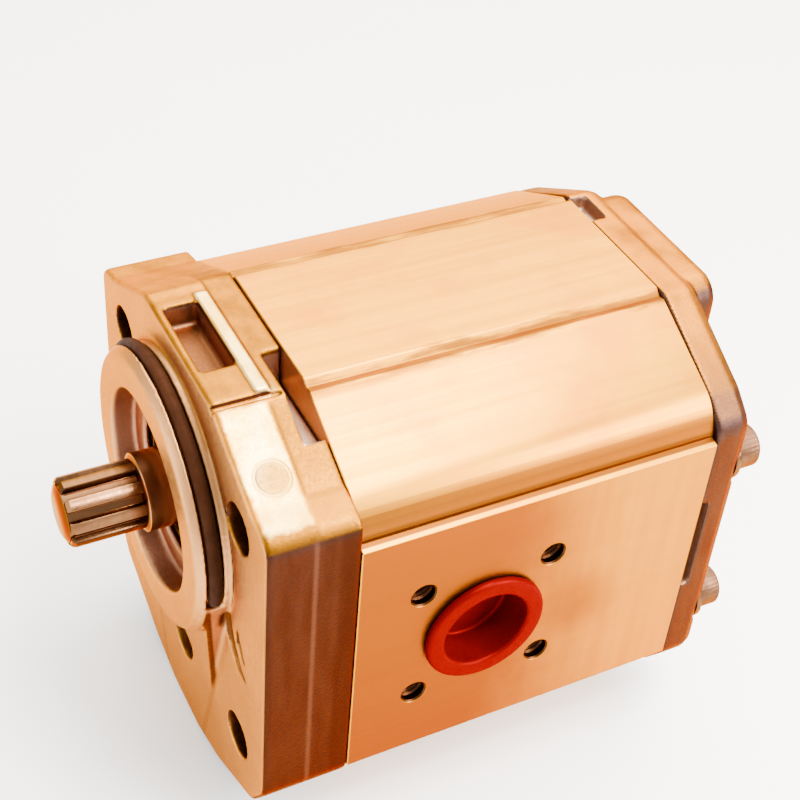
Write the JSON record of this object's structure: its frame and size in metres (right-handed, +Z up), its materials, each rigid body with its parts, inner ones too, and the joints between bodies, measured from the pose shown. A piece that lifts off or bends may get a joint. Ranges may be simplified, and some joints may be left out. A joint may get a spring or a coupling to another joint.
{
  "type": "hydraulic gear pump",
  "caption": "External gear pump with a round pilot flange, splined drive shaft, square port faces with red shipping plugs, extruded body and cast end covers.",
  "frame": {"origin": "centre of the bounding box's bottom face: on the lower crown that the pump stands on, half way along its length", "axes": "+Y along the drive axis into the pump, -Y out of the mounting face and shaft; +X out of the suction port face; +Z up, from the driven gear to the drive gear"},
  "size_m": [0.1274, 0.1854, 0.142],
  "materials": {
    "cast_aluminium": "as-cast, slightly rough",
    "extruded_aluminium": "extruded, ports machined",
    "bearing_aluminium": "machined",
    "steel": "ground and hardened",
    "bright_steel": "zinc plated",
    "bronze": "sintered bronze liner",
    "black_rubber": "matt",
    "green_rubber": "matt",
    "white_plastic": "matt",
    "red_plastic": "moulded"
  },
  "bodies": {
    "housing": {"drive_front_bush": "bronze", "drive_rear_bush": "bronze", "driven_front_bush": "bronze", "driven_rear_bush": "bronze", "front_backup_strip": "white_plastic", "front_bearing_block": "bearing_aluminium", "front_body_seal": "black_rubber", "front_cover": "cast_aluminium", "front_lower_dowel": "bright_steel", "front_pressure_seal": "green_rubber", "front_upper_dowel": "bright_steel", "lower_left_bolt": "steel", "lower_left_washer": "bright_steel", "lower_right_bolt": "steel", "lower_right_washer": "bright_steel", "pilot_seal_cord": "black_rubber", "pressure_port_plug": "red_plastic", "pump_body": "extruded_aluminium", "rear_backup_strip": "white_plastic", "rear_bearing_block": "bearing_aluminium", "rear_body_seal": "black_rubber", "rear_cover": "cast_aluminium", "rear_lower_dowel": "bright_steel", "rear_pressure_seal": "green_rubber", "rear_upper_dowel": "bright_steel", "seal_retaining_ring": "steel", "shaft_seal": "black_rubber", "suction_port_plug": "red_plastic", "upper_left_bolt": "steel", "upper_left_washer": "bright_steel", "upper_right_bolt": "steel", "upper_right_washer": "bright_steel"},
    "drive_shaft": {"drive_gear": "steel"},
    "driven_shaft": {"driven_gear": "steel"}
  },
  "joints": [
    {"name": "drive_spin", "type": "hinge", "parent": "housing", "child": "drive_shaft", "pos_m": [0, -0.0927, 0.0945], "axis": [0, 1, 0], "continuous": true},
    {"name": "driven_spin", "type": "hinge", "parent": "housing", "child": "driven_shaft", "pos_m": [0, 0.0195, 0.0497], "axis": [0, 1, 0], "continuous": true}
  ],
  "couplings": [
    {"joint": "driven_spin", "follows": "drive_spin", "ratio": -1}
  ]
}
